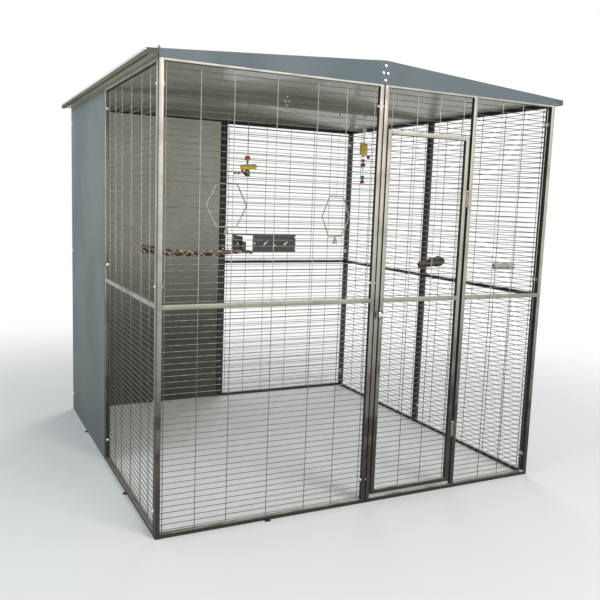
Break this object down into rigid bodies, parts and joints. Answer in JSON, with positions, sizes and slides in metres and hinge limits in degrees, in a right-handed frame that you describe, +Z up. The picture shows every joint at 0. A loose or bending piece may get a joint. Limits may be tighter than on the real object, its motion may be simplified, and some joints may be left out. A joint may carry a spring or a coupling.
{
  "type": "bird aviary",
  "caption": "Walk-in bird aviary of bolted steel tube panels with welded mesh, a low-pitched roof, two closed corner walls, a hinged door, swing-in feeders, perches, swings and toys.",
  "frame": {"origin": "on the floor in the middle of the whole aviary's box, roof overhang and latch knob included", "axes": "+Z up, +X to the right as seen by a keeper who stands in front of the door, +Y from the front wall to the back wall"},
  "size_m": [2.1, 2.07, 2.007],
  "materials": {
    "tube": "satin stainless steel tube",
    "wire": "welded mesh wire, satin",
    "outer_skin": "smooth light blue-grey sheet",
    "inner_skin": "smooth olive-grey sheet",
    "fascia": "blue-grey painted gable plate",
    "roof": "glossy pale roof panel with a light core",
    "roof_edge": "cream edge channel",
    "bolt": "bright zinc or stainless bolt",
    "hinge": "turned steel hinge",
    "latch": "bright latch",
    "feeder": "dark satin stainless steel",
    "cup": "stainless steel cup",
    "pale_wood": "bare pale wood",
    "dark_wood": "dark knobby branch",
    "vine": "twisted dry vine",
    "toy": "coloured wooden and plastic beads",
    "hanger": "thin steel wire"
  },
  "bodies": {
    "cabin": {"back_fascia": "fascia", "back_left_frame": "tube", "back_left_inner_sheet": "inner_skin", "back_left_outer_sheet": "outer_skin", "back_right_frame": "tube", "back_right_mesh": "wire", "corner_bolts": "bolt", "corner_tabs": "tube", "feeder_frame": "feeder", "front_fascia": "fascia", "front_left_frame": "tube", "front_left_mesh": "wire", "front_right_frame": "tube", "front_right_mesh": "wire", "gable_bolts": "bolt", "ground_tabs": "tube", "hinge_post_halves": "hinge", "knobby_perch": "dark_wood", "latch_keeper": "latch", "left_back_frame": "tube", "left_back_inner_sheet": "inner_skin", "left_back_outer_sheet": "outer_skin", "left_front_frame": "tube", "left_front_mesh": "wire", "mid_truss": "fascia", "pale_perch": "pale_wood", "perch_fixings": "bolt", "ridge_cap": "roof_edge", "right_back_frame": "tube", "right_back_mesh": "wire", "right_front_frame": "tube", "right_front_mesh": "wire", "roof_left_edge": "roof_edge", "roof_left_panel": "roof", "roof_right_edge": "roof_edge", "roof_right_panel": "roof", "seam_bolts": "bolt", "seam_spacers": "bolt", "swing_eyes": "hanger", "vine_perch": "vine"},
    "door": {"door_frame": "tube", "door_mesh": "wire", "hinge_door_halves": "hinge", "latch_guide": "latch"},
    "latch_bolt": {"latch_bolt": "latch"},
    "feeder_left": {"feeder_left_door": "feeder", "feeder_left_cup": "cup"},
    "feeder_middle": {"feeder_middle_door": "feeder", "feeder_middle_cup": "cup"},
    "feeder_right": {"feeder_right_door": "feeder", "feeder_right_cup": "cup"},
    "swing_left": {"swing_left_hanger": "hanger", "swing_left_ring": "pale_wood"},
    "swing_right": {"swing_right_hanger": "hanger", "swing_right_ring": "pale_wood"},
    "toy_left": {"toy_left_hanger": "hanger", "toy_left_beads": "toy"},
    "toy_right": {"toy_right_hanger": "hanger", "toy_right_beads": "toy"}
  },
  "joints": [
    {"name": "door_swing", "type": "hinge", "parent": "cabin", "child": "door", "pos_m": [0.488, -1.011, 0], "axis": [0, 0, 1], "range_deg": [0, 110]},
    {"name": "latch_slide", "type": "slide", "parent": "door", "child": "latch_bolt", "axis": [-1, 0, 0], "range_m": [0, 0.012]},
    {"name": "feeder_left_swing", "type": "hinge", "parent": "cabin", "child": "feeder_left", "pos_m": [0.0783, 0.941, 1.09], "axis": [0, 0, 1], "range_deg": [0, 90]},
    {"name": "feeder_middle_swing", "type": "hinge", "parent": "cabin", "child": "feeder_middle", "pos_m": [0.23563, 0.941, 1.09], "axis": [0, 0, 1], "range_deg": [-90, 0]},
    {"name": "feeder_right_swing", "type": "hinge", "parent": "cabin", "child": "feeder_right", "pos_m": [0.39297, 0.941, 1.09], "axis": [0, 0, 1], "range_deg": [-90, 0]},
    {"name": "swing_left_swing", "type": "hinge", "parent": "cabin", "child": "swing_left", "pos_m": [-0.343, -0.015, 1.897], "axis": [1, 0, 0], "range_deg": [-25, 25]},
    {"name": "swing_right_swing", "type": "hinge", "parent": "cabin", "child": "swing_right", "pos_m": [0.341, -0.015, 1.897], "axis": [1, 0, 0], "range_deg": [-25, 25]},
    {"name": "toy_left_swing", "type": "hinge", "parent": "cabin", "child": "toy_left", "pos_m": [-0.228, -0.015, 1.897], "axis": [1, 0, 0], "range_deg": [-25, 25]},
    {"name": "toy_right_swing", "type": "hinge", "parent": "cabin", "child": "toy_right", "pos_m": [0.51, -0.015, 1.897], "axis": [1, 0, 0], "range_deg": [-25, 25]}
  ]
}
